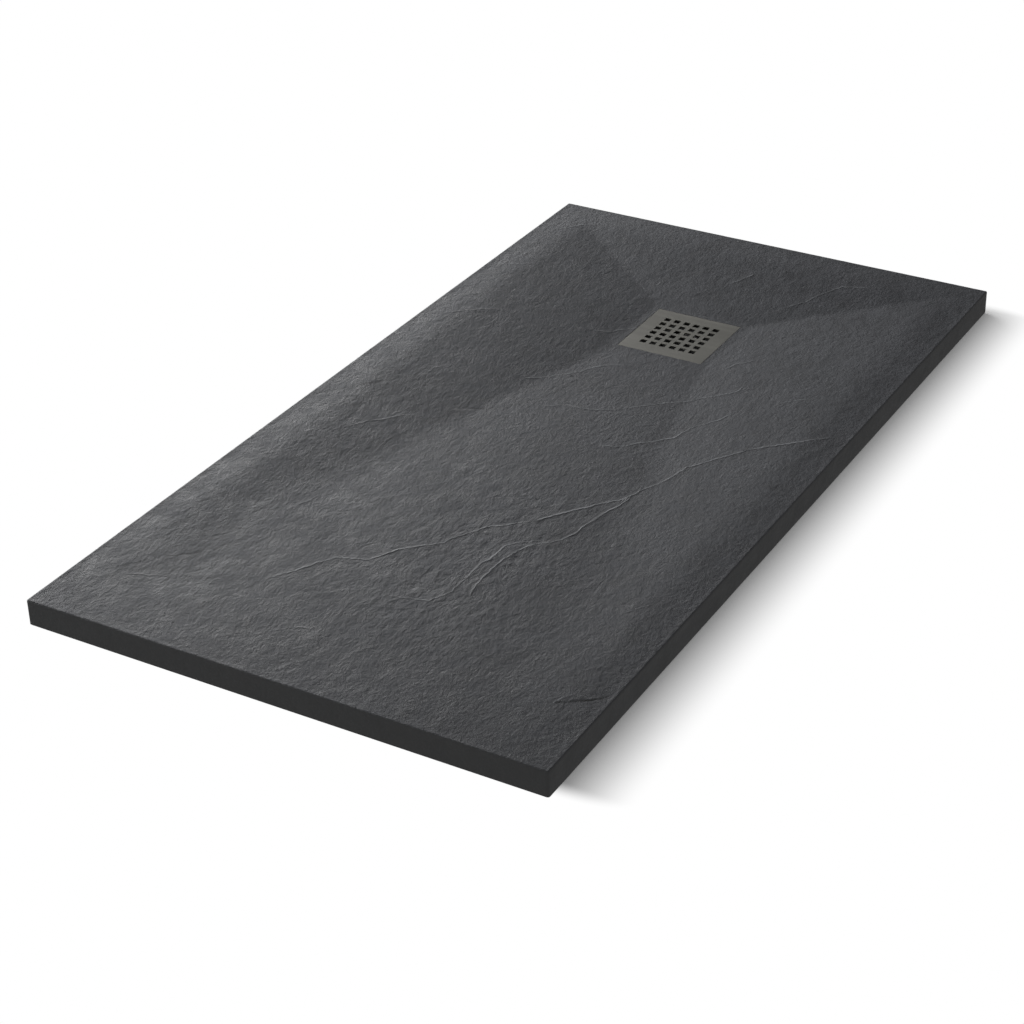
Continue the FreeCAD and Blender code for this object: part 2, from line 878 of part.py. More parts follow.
SUBPARTS = {
    "tray_core": make_tray_core,
    "tray_skin": make_tray_skin,
    "grate_plate": make_grate_plate,
    "grate_studs": make_grate_studs,
    "grate_pads": make_grate_pads,
    "waste_flange": make_waste_flange,
    "flange_gasket": make_flange_gasket,
    "flange_screws": make_flange_screws,
    "body_gasket": make_body_gasket,
    "thread_inserts": make_thread_inserts,
    "trap_collar": make_trap_collar,
    "collar_seal": make_collar_seal,
    "collar_screws": make_collar_screws,
    "trap_bowl": make_trap_bowl,
    "dip_tube": make_dip_tube,
    "tube_o_ring": make_tube_o_ring,
    "seal_cup": make_seal_cup,
    "hair_strainer": make_hair_strainer,
    "outlet_stub": make_outlet_stub,
    "outlet_seal": make_outlet_seal,
    "outlet_washer": make_outlet_washer,
    "outlet_nut": make_outlet_nut,
}


def main():
    os.makedirs("parts", exist_ok=True)
    for name, make in SUBPARTS.items():
        shape = make()
        if isinstance(shape, list):
            shape = Part.makeCompound(shape)
        shape.exportStep("parts/" + name + ".step")


main()
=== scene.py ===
"""Looks of a slate shower tray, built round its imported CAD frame. Metres, +Z up."""

import math

import bpy
import numpy as np
from mathutils import Matrix, Vector


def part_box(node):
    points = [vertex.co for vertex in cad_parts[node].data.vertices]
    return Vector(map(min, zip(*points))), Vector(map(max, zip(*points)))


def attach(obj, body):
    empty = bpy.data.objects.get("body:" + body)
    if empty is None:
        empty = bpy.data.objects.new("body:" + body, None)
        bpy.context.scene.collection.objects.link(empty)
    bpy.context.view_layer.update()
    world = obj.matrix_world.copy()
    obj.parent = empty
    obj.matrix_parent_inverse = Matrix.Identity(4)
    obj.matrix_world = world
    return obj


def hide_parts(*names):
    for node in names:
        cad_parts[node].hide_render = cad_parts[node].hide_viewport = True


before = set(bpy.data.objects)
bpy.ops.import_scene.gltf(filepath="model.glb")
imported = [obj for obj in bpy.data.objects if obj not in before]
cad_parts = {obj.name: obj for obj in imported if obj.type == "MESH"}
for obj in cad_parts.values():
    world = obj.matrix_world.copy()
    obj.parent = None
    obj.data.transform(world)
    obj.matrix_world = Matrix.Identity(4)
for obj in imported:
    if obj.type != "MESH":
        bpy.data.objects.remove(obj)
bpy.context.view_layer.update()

MM = 0.001

# ---- sizes that the frame gives
skin_low, skin_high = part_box("tray_skin")
plate_low, plate_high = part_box("grate_plate")
HALF_LENGTH = skin_high.x
HALF_WIDTH = skin_high.y
RIM_Z = skin_high.z
SKIN_FOOT_Z = skin_low.z
DECK_Z = plate_high.z
WASTE_X = (plate_low.x + plate_high.x) / 2
RECESS_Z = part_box("grate_pads")[0].z
SEAT_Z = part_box("flange_gasket")[0].z
FLANGE_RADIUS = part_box("waste_flange")[1].y

# ---- sizes of the slate surface
SEAT_CLEARANCE = 1.0 * MM
FLANGE_LIP = 12.5 * MM
SEAT_RADIUS = FLANGE_RADIUS + SEAT_CLEARANCE
HOLE_RADIUS = FLANGE_RADIUS - FLANGE_LIP
RIM_WIDTH = 60 * MM
LANDING = 4 * MM
GRATE_GAP = 0.6 * MM
SKIN_THICKNESS = 1.5 * MM
CORNER_RADIUS = 3 * MM
EDGE_RADIUS = 2 * MM
RECESS_EDGE = 0.3 * MM
RECESS_HALF = (plate_high.x - plate_low.x) / 2 + GRATE_GAP
DRAIN_HALF = RECESS_HALF + LANDING
GRID_STEP = 2.5 * MM
EDGE_LINES = (0.0, 0.2 * MM, 0.6 * MM, 1.2 * MM, 2.0 * MM, 3.2 * MM)
SIDE_STEP = 3 * MM
SIDE_DENT = 0.10 * MM
SHARP_ANGLE = math.radians(50)

# ---- how softly the faces meet, as heights: the valleys at the waste, and what they gain with
# the square of the distance from it in half lengths
CREASE_SOFTNESS = 1.8 * MM
LANDING_SOFTNESS = 0.4 * MM
VALLEY_SOFTNESS = 0.42 * MM
VALLEY_GAIN = 3.5 * MM

# ---- slate relief: how deep it lies below the nominal surface
SPLIT_ANGLE = math.radians(-6)
RELIEF_MIDDLE = 0.60 * MM
RELIEF_LIMITS = (0.02 * MM, 1.2 * MM)
SWELL_DEPTH = 0.26 * MM
RIPPLE_DEPTH = 0.18 * MM
RIPPLE_DEPTH_PATCH = 0.38 * MM
TERRACE_DEPTH = 0.27 * MM
TERRACES = 5
TERRACE_SLOPE = 0.25
GRAIN_DEPTH = 0.16 * MM
GRAIN_DEPTH_PATCH = 0.06 * MM
SHELF_HEIGHT = 0.45 * MM
LINE_HEIGHT = 0.35 * MM
CRACK_DEPTH = 0.45 * MM
BEND = 9 * MM
CALM_WIDTH = 14 * MM
CALM_SHARE = 0.9
RIM_CALM_WIDTH = 10 * MM
RIM_CALM_SHARE = 0.55

# ---- the patch of stronger ripples between the two main lines, measured as the lines below are
PATCH_MIDDLE = (400 * MM, 470 * MM)
PATCH_HALF = (230 * MM, 120 * MM)

# ---- lines of the split: how they wander, fade and raise a shelf on one side
WANDER = 5 * MM
LINE_FADE = 14 * MM
LINE_REACH = 4 * MM
LINE_WIDTH = 1.7 * MM
LINE_PATCHINESS = 0.4
FAR_OFF = 1.0
SHELF_REACH = 16 * MM
SHELF_EDGE = 2.4 * MM

# ---- noise of the relief: size of the largest bumps, number of sizes, seed
WANDER_X_NOISE = (34 * MM, 3, 11)
WANDER_Y_NOISE = (34 * MM, 3, 23)
STRENGTH_NOISE = (26 * MM, 2, 31)
SWELL_NOISE = (210 * MM, 3, 41)
BEND_NOISE = (70 * MM, 2, 43)
RIPPLE_NOISE = (12 * MM, 3, 47)
TERRACE_NOISE = (60 * MM, 3, 53)
GRAIN_NOISE = (7 * MM, 2, 59)
SIDE_NOISE = (22 * MM, 3, 67)
LATTICE = 256
FIRST_TURN = 0.3
LAYER_TURN = 0.7

# shares that lengths along the split are scaled by, so that the noise is longer that way
RIPPLE_SQUEEZE = 0.65
TERRACE_SQUEEZE = 0.55
GRAIN_SQUEEZE = 0.8


# ------------------------------------------------------------ numbers


def smooth_max(a, b, softness):
    """The larger of two heights, with the crease between them rounded."""
    share = np.clip(0.5 + (a - b) / (2 * softness), 0, 1)
    return b + (a - b) * share + softness * share * (1 - share)


def smooth_min(a, b, softness):
    return -smooth_max(-a, -b, softness)


def ease(t):
    """0 to 1 with a level start and end."""
    t = np.clip(t, 0, 1)
    return t * t * (3 - 2 * t)


def value_noise(x, y, cell, seed):
    """Smooth noise from -1 to 1 whose bumps are about one cell wide."""
    lattice = np.random.default_rng(seed).random((LATTICE, LATTICE)) * 2 - 1
    u = x / cell
    v = y / cell
    i = np.floor(u).astype(int)
    j = np.floor(v).astype(int)
    a = ease(u - i)
    b = ease(v - j)
    i0, i1 = i % LATTICE, (i + 1) % LATTICE
    j0, j1 = j % LATTICE, (j + 1) % LATTICE
    low = lattice[i0, j0] * (1 - a) + lattice[i1, j0] * a
    high = lattice[i0, j1] * (1 - a) + lattice[i1, j1] * a
    return low * (1 - b) + high * b


def layered_noise(x, y, cell, octaves, seed):
    """Several sizes of noise, each half as strong as the one before."""
    total = 0
    reach = 0
    for k in range(octaves):
        weight = 0.5**k
        # each size has a lattice of its own, turned away from the others
        turn = LAYER_TURN * k + FIRST_TURN
        xr = x * math.cos(turn) - y * math.sin(turn)
        yr = x * math.sin(turn) + y * math.cos(turn)
        total = total + weight * value_noise(xr, yr, cell * 0.5**k, seed + k)
        reach += weight
    return total / reach


# ------------------------------------------------------------ slate relief

# Cleavage lines of the slate, read from the photograph: millimetres along the tray from
# the end that is farther from the waste, and across it from the left long side. The last
# number of each is its strength; a negative one is a dark crack.
VEINS = [
    ([(200, 250), (290, 300), (310, 345), (350, 365), (400, 410), (465, 440), (510, 490)], 0.9),
    ([(510, 490), (560, 525), (640, 578), (745, 612), (830, 670), (885, 740), (915, 775)], 1.0),
    ([(240, 420), (258, 470), (290, 485), (360, 485), (430, 490), (480, 530)], 0.8),
    ([(290, 515), (340, 505), (400, 505), (455, 520), (485, 550), (600, 572), (640, 578)], 0.9),
    ([(765, 225), (775, 255), (810, 290), (850, 310), (940, 332)], -0.6),
    ([(820, 320), (845, 350), (850, 395), (870, 430), (935, 500), (1000, 570), (1030, 575)], 0.6),
    ([(890, 250), (920, 285), (960, 315), (1000, 345), (1015, 370)], 0.5),
    ([(1090, 260), (1105, 290), (1130, 310), (1150, 330)], 0.6),
    ([(755, 460), (770, 495), (830, 550), (870, 560), (905, 585), (935, 600)], 0.7),
    ([(1060, 515), (1100, 530), (1125, 560)], 0.5),
    ([(985, 650), (1020, 690)], 0.5),
    ([(118, 725), (140, 750), (155, 775), (170, 795)], -1.8),
    ([(115, 730), (150, 740)], 0.9),
    ([(90, 60), (130, 65), (165, 85), (190, 110), (220, 135)], -0.6),
    ([(115, 70), (140, 130)], 0.5),
    ([(70, 315), (100, 330), (120, 360), (130, 380)], 0.5),
    ([(665, 10), (695, 30), (720, 50), (760, 80)], -0.7),
    ([(610, 105), (650, 130), (685, 160), (700, 180)], 0.5),
    ([(1000, 30), (1020, 50), (1075, 110)], 0.5),
    ([(1210, 10), (1235, 60), (1250, 85)], 0.5),
    ([(1385, 35), (1440, 75)], 0.6),
    ([(1345, 400), (1395, 425)], 0.6),
    ([(1455, 430), (1490, 460)], 0.6),
    ([(1310, 520), (1370, 550), (1410, 580), (1425, 620)], 0.6),
    ([(140, 255), (155, 285)], 0.5),
    ([(380, 170), (430, 180)], 0.5),
    ([(540, 770), (560, 780)], -0.6),
    ([(345, 710), (390, 745)], 0.5),
    ([(780, 715), (795, 730)], 0.5),
]


def line_field(points, x, y):
    """Distance to one line, which side of it a point lies on, and how strong it is beside it."""
    place = [(px * MM - HALF_LENGTH, HALF_WIDTH - py * MM) for px, py in points]
    spans = list(zip(place, place[1:]))
    whole = sum(math.dist(a, b) for a, b in spans)
    gap = np.full_like(x, FAR_OFF)
    hand = np.ones_like(x)
    passed = np.zeros_like(x)
    start = 0.0
    for (ax, ay), (bx, by) in spans:
        length = math.dist((ax, ay), (bx, by))
        dx, dy = (bx - ax) / length, (by - ay) / length
        along = np.clip((x - ax) * dx + (y - ay) * dy, 0, length)
        reach = np.hypot(x - ax - along * dx, y - ay - along * dy)
        closer = reach < gap
        gap = np.where(closer, reach, gap)
        hand = np.where(closer, np.sign((y - ay) * dx - (x - ax) * dy), hand)
        passed = np.where(closer, start + along, passed)
        start += length
    # the line fades out at its ends
    return gap, hand, ease(np.minimum(passed, whole - passed) / LINE_FADE)


def vein_fields(x, y):
    """Signed distance to the nearest line, strength of light lines and of cracks, and shelves."""
    nearest = np.full_like(x, FAR_OFF)
    side = np.ones_like(x)
    force = np.zeros_like(x)
    shelf = np.zeros_like(x)
    # the lines wander a little, as a split in stone does, and are stronger in places
    wx = x + WANDER * layered_noise(x, y, *WANDER_X_NOISE)
    wy = y + WANDER * layered_noise(x, y, *WANDER_Y_NOISE)
    patchy = 1 - LINE_PATCHINESS + LINE_PATCHINESS * layered_noise(x, y, *STRENGTH_NOISE)
    for points, strength in VEINS:
        gap, hand, fade = line_field(points, wx, wy)
        first = gap < nearest
        nearest = np.where(first, gap, nearest)
        side = np.where(first, hand, side)
        force = np.where(first, strength * fade * patchy, force)
        raised = np.exp(-gap / SHELF_REACH) * ease(0.5 + hand * gap / SHELF_EDGE)
        shelf = np.maximum(shelf, raised * fade * abs(strength) * patchy)
    force = force * (1 - ease((nearest - LINE_REACH) / LINE_REACH))
    return nearest * side, np.maximum(force, 0), np.maximum(-force, 0), shelf


def fall_height(x, y):
    """The level rim and the four falls to the grate, with soft creases."""
    depth = RIM_Z - DECK_Z
    inner_x = HALF_LENGTH - RIM_WIDTH
    inner_y = HALF_WIDTH - RIM_WIDTH
    drain_start, drain_end = WASTE_X - DRAIN_HALF, WASTE_X + DRAIN_HALF
    # each fall is 0 at the grate's landing and 1 at the rim
    falls = [
        (drain_start - x) / (drain_start + inner_x),
        (x - drain_end) / (inner_x - drain_end),
        (y - DRAIN_HALF) / (inner_y - DRAIN_HALF),
        (-y - DRAIN_HALF) / (inner_y - DRAIN_HALF),
    ]
    # the valleys grow softer away from the waste
    softness = VALLEY_SOFTNESS + VALLEY_GAIN * ((x - WASTE_X) / HALF_LENGTH) ** 2
    height = falls[0] * depth
    for fall in falls[1:]:
        height = smooth_max(height, fall * depth, softness)
    height = smooth_max(height, 0, LANDING_SOFTNESS)
    return DECK_Z + smooth_min(height, depth, CREASE_SOFTNESS)


def slate_relief(x, y):
    """How far the split slate lies below its nominal surface, and masks for its colour."""
    gap, light, dark, shelf = vein_fields(x, y)
    line = np.exp(-((gap / LINE_WIDTH) ** 2))
    # ripples run along the split, a little off the tray's length
    u = x * math.cos(SPLIT_ANGLE) + y * math.sin(SPLIT_ANGLE)
    v = y * math.cos(SPLIT_ANGLE) - x * math.sin(SPLIT_ANGLE)
    bent = v + BEND * layered_noise(x, y, *BEND_NOISE)
    swell = layered_noise(x, y, *SWELL_NOISE)
    ripple = layered_noise(u * RIPPLE_SQUEEZE, bent, *RIPPLE_NOISE)
    grain = layered_noise(u * GRAIN_SQUEEZE, v, *GRAIN_NOISE)
    # terraces: level steps, with a short slope in the middle of each
    steps = TERRACES * layered_noise(u * TERRACE_SQUEEZE, bent, *TERRACE_NOISE)
    climb = 0.5 + (steps % 1 - 0.5) / TERRACE_SLOPE
    terrace = (np.floor(steps) + ease(climb)) / TERRACES
    patch_x = (x + HALF_LENGTH - PATCH_MIDDLE[0]) / PATCH_HALF[0]
    patch_y = (HALF_WIDTH - y - PATCH_MIDDLE[1]) / PATCH_HALF[1]
    patch = np.exp(-(patch_x**2) - patch_y**2)
    below = RELIEF_MIDDLE + SWELL_DEPTH * swell + TERRACE_DEPTH * terrace
    below = below + (RIPPLE_DEPTH + RIPPLE_DEPTH_PATCH * patch) * ripple
    below = below + (GRAIN_DEPTH + GRAIN_DEPTH_PATCH * patch) * grain
    below = below + (CRACK_DEPTH * dark - LINE_HEIGHT * light) * line - SHELF_HEIGHT * shelf
    return np.clip(below, *RELIEF_LIMITS), (gap, light, dark, patch)


# ------------------------------------------------------------ slate skin


def grid_lines(half, fixed):
    """Places of the grid lines over one side: finer at the edges and through the fixed places."""
    edges = [side * (half - line) for side in (-1, 1) for line in EDGE_LINES]
    stops = sorted([*edges, *fixed])
    lines = []
    for a, b in zip(stops, stops[1:]):
        count = max(1, round((b - a) / GRID_STEP))
        lines += [a + (b - a) * k / count for k in range(count)]
    return np.array(lines + [stops[-1]])


def edge_distance(x, y):
    """How far a point lies inside the tray's rounded outline."""
    qx = np.abs(x) - (HALF_LENGTH - CORNER_RADIUS)
    qy = np.abs(y) - (HALF_WIDTH - CORNER_RADIUS)
    outside = np.hypot(np.maximum(qx, 0), np.maximum(qy, 0))
    return CORNER_RADIUS - outside - np.minimum(np.maximum(qx, qy), 0)


def round_corners(x, y):
    """Moves the points beyond the tray's rounded corners onto them."""
    cx = np.sign(x) * (HALF_LENGTH - CORNER_RADIUS)
    cy = np.sign(y) * (HALF_WIDTH - CORNER_RADIUS)
    dx, dy = x - cx, y - cy
    reach = np.hypot(dx, dy)
    beyond = (np.abs(x) > np.abs(cx)) & (np.abs(y) > np.abs(cy)) & (reach > CORNER_RADIUS)
    scale = np.ones_like(reach)
    scale[beyond] = CORNER_RADIUS / reach[beyond]
    return cx + dx * scale, cy + dy * scale


# what each point of the skin carries for its colour, and the values of the plain sides
MASKS = ("gap", "vein", "crack", "patch", "side")
BARE = (1, 0, 0, 0, 1)


class Shell:
    """Points, masks and quads of the skin, gathered loop by loop."""

    def __init__(self):
        self.points = []
        self.masks = []
        self.quads = []
        self.count = 0

    def add(self, points, masks):
        """Adds points with their masks and returns their numbers."""
        start = self.count
        self.points.append(points)
        self.masks.append(masks)
        self.count += len(points)
        return np.arange(start, self.count)

    def add_loop(self, loop):
        """Adds a closed loop of plain points and returns their numbers."""
        return self.add(loop, np.tile(BARE, (len(loop), 1)))

    def join(self, a, b):
        """Quads between two loops of the same length."""
        self.quads.append(np.stack([a, np.roll(a, -1), np.roll(b, -1), b], -1))

    def mesh(self, name):
        mesh = bpy.data.meshes.new(name)
        points, quads = np.concatenate(self.points), np.concatenate(self.quads)
        mesh.from_pydata(points.tolist(), [], quads.tolist())
        values = np.concatenate(self.masks).astype(np.float32)
        for mask, column in zip(MASKS, values.T):
            attribute = mesh.attributes.new(mask, "FLOAT", "POINT")
            attribute.data.foreach_set("value", np.ascontiguousarray(column))
        mesh.shade_smooth()
        return mesh


def loop_round(block):
    """Numbers round the border of a block of the grid, anticlockwise from above."""
    return np.concatenate([block[:-1, 0], block[-1, :-1], block[:0:-1, -1], block[0, :0:-1]])


def line_at(lines, place):
    """Number of the grid line nearest to a place."""
    return int(np.argmin(np.abs(lines - place)))


def add_top(shell):
    """Rim and falls; returns the loops at the tray's edge and round the recess."""
    xs = grid_lines(HALF_LENGTH, (WASTE_X - RECESS_HALF, WASTE_X + RECESS_HALF))
    ys = grid_lines(HALF_WIDTH, (-RECESS_HALF, RECESS_HALF))
    x, y = round_corners(*np.meshgrid(xs, ys, indexing="ij"))
    below, fields = slate_relief(x, y)
    # the relief calms down at the recess and at the tray's edge
    to_recess = np.maximum(np.abs(x - WASTE_X), np.abs(y)) - RECESS_HALF
    calm = 1 - CALM_SHARE + CALM_SHARE * ease(to_recess / CALM_WIDTH)
    inside = edge_distance(x, y)
    rim_calm = 1 - RIM_CALM_SHARE + RIM_CALM_SHARE * ease(inside / RIM_CALM_WIDTH)
    arc = np.clip(EDGE_RADIUS - inside, 0, EDGE_RADIUS)
    rounding = EDGE_RADIUS - np.sqrt(EDGE_RADIUS**2 - arc**2)
    z = fall_height(x, y) - below * calm * rim_calm - rounding
    turned = ease((EDGE_RADIUS - inside) / EDGE_RADIUS)
    points = np.stack([x.ravel(), y.ravel(), z.ravel()], 1)
    masks = np.stack([field.ravel() for field in (*fields, turned)], 1)
    ids = shell.add(points, masks).reshape(x.shape)

    west, east = line_at(xs, WASTE_X - RECESS_HALF), line_at(xs, WASTE_X + RECESS_HALF)
    south, north = line_at(ys, -RECESS_HALF), line_at(ys, RECESS_HALF)
    quads = np.stack([ids[:-1, :-1], ids[1:, :-1], ids[1:, 1:], ids[:-1, 1:]], -1)
    keep = np.ones(quads.shape[:2], bool)
    keep[west:east, south:north] = False
    shell.quads.append(quads[keep])
    return loop_round(ids), loop_round(ids[west : east + 1, south : north + 1])


def add_sides(shell, rim):
    """The sides, with the faint ripple of a moulded edge, always inwards."""
    top = shell.points[0][rim]
    along = np.cumsum(np.hypot(*(top - np.roll(top, 1, 0))[:, :2].T))
    # a high odd power points square to the sides, and turns only at the corners
    inward = -np.stack([top[:, 0] / HALF_LENGTH, top[:, 1] / HALF_WIDTH], 1) ** 9
    inward /= np.linalg.norm(inward, axis=1)[:, None]
    last = rim
    rows = round((RIM_Z - EDGE_RADIUS - SKIN_FOOT_Z) / SIDE_STEP)
    for k in range(1, rows + 1):
        z = top[:, 2] + (SKIN_FOOT_Z - top[:, 2]) * k / rows
        dent = SIDE_DENT * (1 + layered_noise(along, z, *SIDE_NOISE)) * ease(k / 2)
        loop = shell.add_loop(np.column_stack([top[:, :2] + inward * dent[:, None], z]))
        shell.join(loop, last)
        last = loop


def add_recess(shell, hole):
    """The recess: wall, floor, round seat and the hole's edge."""
    centre = np.array([WASTE_X, 0.0])
    square = shell.points[0][hole][:, :2] - centre
    circle = square / np.hypot(square[:, 0], square[:, 1])[:, None]
    shrink = (RECESS_HALF - RECESS_EDGE) / RECESS_HALF
    stages = [
        (square, DECK_Z - RECESS_EDGE),
        (square, RECESS_Z + RECESS_EDGE),
        (square * shrink, RECESS_Z),
        (circle * SEAT_RADIUS, RECESS_Z),
        (circle * SEAT_RADIUS, SEAT_Z),
        (circle * HOLE_RADIUS, SEAT_Z),
        (circle * HOLE_RADIUS, SEAT_Z - SKIN_THICKNESS),
    ]
    last = hole
    for plan, z in stages:
        loop = shell.add_loop(np.column_stack([plan + centre, np.full(len(plan), z)]))
        shell.join(last, loop)
        last = loop


def build_skin():
    """Slate skin over the rim, the falls and the sides, down to the waste's seat."""
    shell = Shell()
    rim, hole = add_top(shell)
    add_sides(shell, rim)
    add_recess(shell, hole)
    skin = bpy.data.objects.new("slate_skin", shell.mesh("slate_skin"))
    bpy.context.scene.collection.objects.link(skin)
    skin.data.set_sharp_from_angle(angle=SHARP_ANGLE)
    return skin


# ------------------------------------------------------------ materials


# numbers of a colour Mix node's two inputs and of its result
MIX_INPUTS = (6, 7)
MIX_RESULT = 2


class Nodes:
    """Short way to add and link the nodes of one material."""

    def __init__(self, name):
        self.material = bpy.data.materials.new(name)
        self.material.use_nodes = True
        self.tree = self.material.node_tree
        self.shader = self.tree.nodes["Principled BSDF"]
        self.place = self.add("ShaderNodeTexCoord").outputs["Object"]

    def add(self, kind, **settings):
        node = self.tree.nodes.new(kind)
        for key, value in settings.items():
            setattr(node, key, value)
        return node

    def link(self, output, socket):
        self.tree.links.new(output, socket)

    def stretched(self, turn=0.0, scale=(1, 1, 1)):
        """Coordinates that draw what follows longer by scale, along axes turned about Z."""
        node = self.add("ShaderNodeMapping", vector_type="TEXTURE")
        self.link(self.place, node.inputs["Vector"])
        node.inputs["Rotation"].default_value = (0, 0, turn)
        node.inputs["Scale"].default_value = scale
        return node.outputs["Vector"]

    def noise(self, vector, scale, detail=4.0, roughness=0.55):
        """Noise from 0 to 1 with about scale bumps to the metre."""
        node = self.add("ShaderNodeTexNoise")
        self.link(vector, node.inputs["Vector"])
        node.inputs["Scale"].default_value = scale
        node.inputs["Detail"].default_value = detail
        node.inputs["Roughness"].default_value = roughness
        return node.outputs["Fac"]

    def spread(self, value, low, high, start=0.3, end=0.7):
        """Maps a value between start and end onto low to high."""
        node = self.add("ShaderNodeMapRange")
        self.link(value, node.inputs["Value"])
        for name, number in zip(("From Min", "From Max", "To Min", "To Max"), (start, end, low, high)):
            node.inputs[name].default_value = number
        return node.outputs["Result"]

    def mixed(self, share, a, b):
        """Colour between a and b, each a socket or a colour."""
        node = self.add("ShaderNodeMix", data_type="RGBA")
        self.link(share, node.inputs["Factor"])
        for number, value in zip(MIX_INPUTS, (a, b)):
            socket = node.inputs[number]
            if isinstance(value, bpy.types.NodeSocket):
                self.link(value, socket)
            else:
                socket.default_value = (*value, 1)
        return node.outputs[MIX_RESULT]

    def maths(self, operation, a, b=None):
        """One step of arithmetic on a value; b is a second value or a fixed number."""
        node = self.add("ShaderNodeMath", operation=operation)
        self.link(a, node.inputs[0])
        if isinstance(b, bpy.types.NodeSocket):
            self.link(b, node.inputs[1])
        elif b is not None:
            node.inputs[1].default_value = b
        return node.outputs[0]

    def product(self, a, b):
        return self.maths("MULTIPLY", a, b)

    def vector(self, operation, a, b=None):
        """Vector arithmetic with a fixed second value."""
        node = self.add("ShaderNodeVectorMath", operation=operation)
        self.link(a, node.inputs[0])
        if b is not None:
            node.inputs[1].default_value = b
        return node.outputs["Value" if operation == "LENGTH" else "Vector"]

    def attribute(self, name):
        """A value that the mesh carries."""
        return self.add("ShaderNodeAttribute", attribute_name=name).outputs["Fac"]

    def bump(self, height, distance, strength=1.0, before=None):
        """Normal of a relief, distance metres deep, on top of the relief before it."""
        node = self.add("ShaderNodeBump")
        node.inputs["Distance"].default_value = distance
        node.inputs["Strength"].default_value = strength
        self.link(height, node.inputs["Height"])
        if before is not None:
            self.link(before, node.inputs["Normal"])
        return node.outputs["Normal"]

    def set(self, **values):
        """Gives the shader's inputs their values or links, and returns the material."""
        for name, value in values.items():
            socket = self.shader.inputs[name.replace("_", " ")]
            if isinstance(value, bpy.types.NodeSocket):
                self.link(value, socket)
            else:
                socket.default_value = value
        return self.material


def grey(value, red=0.0, blue=0.0):
    """A grey with its red and blue raised by a share."""
    return (value * (1 + red), value, value * (1 + blue))


SLATE_TINT = (-0.035, 0.105)
SLATE_DARK = grey(0.031, *SLATE_TINT)
SLATE_PLAIN = grey(0.047, *SLATE_TINT)
SLATE_LIGHT = grey(0.062, *SLATE_TINT)
# dark grain pits, and painted shade beside the split lines
SLATE_PIT_AND_SHADE = grey(0.022, *SLATE_TINT)
# pale split lines: painted highlight of their lit ridges
SLATE_VEIN_HIGHLIGHT = grey(0.22, -0.03, 0.05)
SLATE_CRACK = grey(0.010)
# plain colour of the smooth sides, lighter than the top: painted light that stands in for the light on
# the vertical faces
SLATE_SIDE_PAINTED_LIGHT = grey(0.072, -0.01, 0.01)

# the slate's finest relief: direction of the grain, half width of a line and of a crack, how far
# their edges waver, and how deep each kind of bump is
GRAIN_ANGLE = math.radians(8)
LINE_HALF = 2.0 * MM
CRACK_HALF = 3.2 * MM
LINE_WAVE = 1.2 * MM
WRINKLE_BUMP = 1.15 * MM
GRAIN_BUMP = 0.75 * MM
LINE_BUMP = 0.9 * MM
PIT_BUMP = 0.2 * MM


def slate_material():
    """Anthracite slate: grainy, cloudy in tone, with thin split lines painted pale as highlight,
    painted shade beside them, and dark cracks.
    """
    n = Nodes("slate")
    along_split = n.stretched(SPLIT_ANGLE, (1.4, 1, 1))
    along_grain = n.stretched(GRAIN_ANGLE, (1.3, 1, 1))
    cloud = n.noise(n.place, scale=12.0, detail=5.0, roughness=0.6)
    mottle = n.noise(along_split, scale=40.0, detail=5.0, roughness=0.6)
    ripple = n.noise(along_grain, scale=90.0, detail=4.0, roughness=0.6)
    grain = n.noise(along_grain, scale=240.0, detail=4.0, roughness=0.55)
    pits = n.noise(n.place, scale=900.0, detail=2.0, roughness=0.5)
    # pale broken lines painted as highlight, painted shade beside them, and cracks
    wavy = n.maths("ADD", n.attribute("gap"), n.spread(ripple, -LINE_WAVE, LINE_WAVE))
    off_line = n.maths("ABSOLUTE", wavy)
    line = n.spread(off_line, 1, 0, start=0, end=LINE_HALF)
    beside = n.spread(off_line, 1, 0, start=LINE_HALF, end=3 * LINE_HALF)
    broken = n.product(line, n.spread(mottle, 0.6, 1.0, start=0.4, end=0.6))
    vein = n.product(broken, n.attribute("vein"))
    crack = n.product(n.spread(off_line, 1, 0, start=0, end=CRACK_HALF), n.attribute("crack"))
    shade = n.product(beside, n.attribute("vein"))
    # colour, from the broadest patches to the lines
    colour = n.mixed(n.spread(cloud, 0, 1), SLATE_DARK, SLATE_PLAIN)
    colour = n.mixed(n.spread(mottle, 0, 0.7, start=0.35, end=0.7), colour, SLATE_LIGHT)
    colour = n.mixed(n.spread(grain, 0, 0.5, start=0.4, end=0.75), colour, SLATE_PIT_AND_SHADE)
    # painted shade beside the split lines
    colour = n.mixed(n.product(shade, 0.35), colour, SLATE_PIT_AND_SHADE)
    # painted highlight along the split lines' lit ridges
    colour = n.mixed(n.product(vein, 0.85), colour, SLATE_VEIN_HIGHLIGHT)
    colour = n.mixed(n.product(crack, 0.9), colour, SLATE_CRACK)
    # the sides and the rounded edge take that lighter colour, painted light on the vertical faces
    colour = n.mixed(n.attribute("side"), colour, SLATE_SIDE_PAINTED_LIGHT)
    rough = n.spread(mottle, 0.62, 0.8)
    # fine relief, from wrinkles to pits
    patch = n.spread(n.attribute("patch"), 0.7, 1.1, start=0.1, end=0.9)
    wrinkle = n.product(ripple, patch)
    normal = n.bump(wrinkle, WRINKLE_BUMP)
    normal = n.bump(n.product(grain, n.spread(cloud, 0.7, 1.3)), GRAIN_BUMP, before=normal)
    normal = n.bump(vein, LINE_BUMP, before=normal)
    normal = n.bump(pits, PIT_BUMP, before=normal)
    return n.set(Base_Color=colour, Roughness=rough, Normal=normal, Specular_IOR_Level=0.2)


